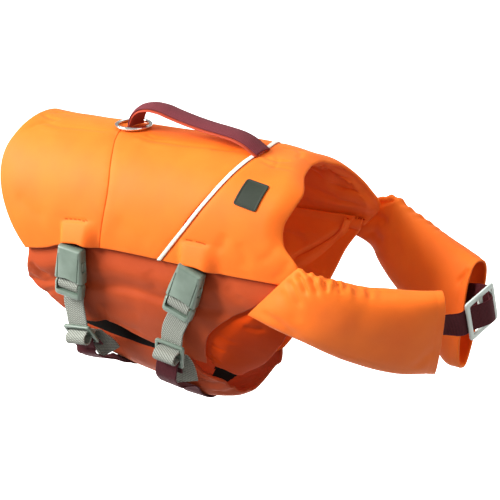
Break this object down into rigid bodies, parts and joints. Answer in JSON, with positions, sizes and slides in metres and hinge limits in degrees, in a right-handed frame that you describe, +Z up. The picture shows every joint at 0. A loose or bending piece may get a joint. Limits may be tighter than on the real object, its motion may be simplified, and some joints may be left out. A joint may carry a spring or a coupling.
{
  "type": "dog life jacket",
  "caption": "Foam-filled life jacket for a dog, standing open as worn, with a lifting handle, a lead ring, two neck floats and buckled belly straps on one side.",
  "frame": {"origin": "inner top centre of the back, where the wearer's back holds the jacket up", "axes": "+X from the tail end to the neck, +Y to the wearer's left (the side without buckles), +Z up"},
  "size_m": [0.522, 0.2194, 0.3276],
  "materials": {
    "orange_cloth": "plain-woven coated nylon, matt with a soft sheen",
    "rust_cloth": "plain-woven coated nylon, matt with a soft sheen",
    "burgundy_webbing": "woven polyester webbing, matt",
    "grey_webbing": "woven polyester webbing with a fine diagonal weave",
    "reflective_piping": "silver-white reflective tape over a cord",
    "label_cloth": "dark green woven patch",
    "buckle_plastic": "moulded acetal, satin",
    "slide_plastic": "pale moulded plastic, satin",
    "ring_metal": "polished welded steel wire"
  },
  "bodies": {
    "jacket": {"back_rear": "orange_cloth", "back_mid": "orange_cloth", "back_front": "orange_cloth", "reflective_piping": "reflective_piping", "label": "label_cloth", "belly_panel": "rust_cloth", "side_flap_near": "rust_cloth", "side_flap_far": "rust_cloth", "front_gusset_near": "orange_cloth", "front_gusset_far": "orange_cloth", "neck_float_near": "orange_cloth", "neck_float_far": "orange_cloth", "buckle_socket_1": "buckle_plastic", "buckle_socket_2": "buckle_plastic", "buckle_plug_1": "buckle_plastic", "buckle_plug_2": "buckle_plastic", "adjuster_1": "buckle_plastic", "adjuster_2": "buckle_plastic", "buckle_web_1": "burgundy_webbing", "buckle_web_2": "burgundy_webbing", "grey_web_1": "grey_webbing", "grey_web_2": "grey_webbing", "belly_strap_1": "burgundy_webbing", "belly_strap_2": "burgundy_webbing", "handle_webbing": "burgundy_webbing", "handle_lining": "orange_cloth", "neck_slide": "slide_plastic", "neck_strap": "burgundy_webbing"},
    "ring": {"lead_ring": "ring_metal"}
  },
  "joints": [
    {"name": "ring_tilt", "type": "hinge", "parent": "jacket", "child": "ring", "pos_m": [-0.025, 0, 0.0152], "axis": [0, 1, 0], "range_deg": [0, 60]}
  ]
}
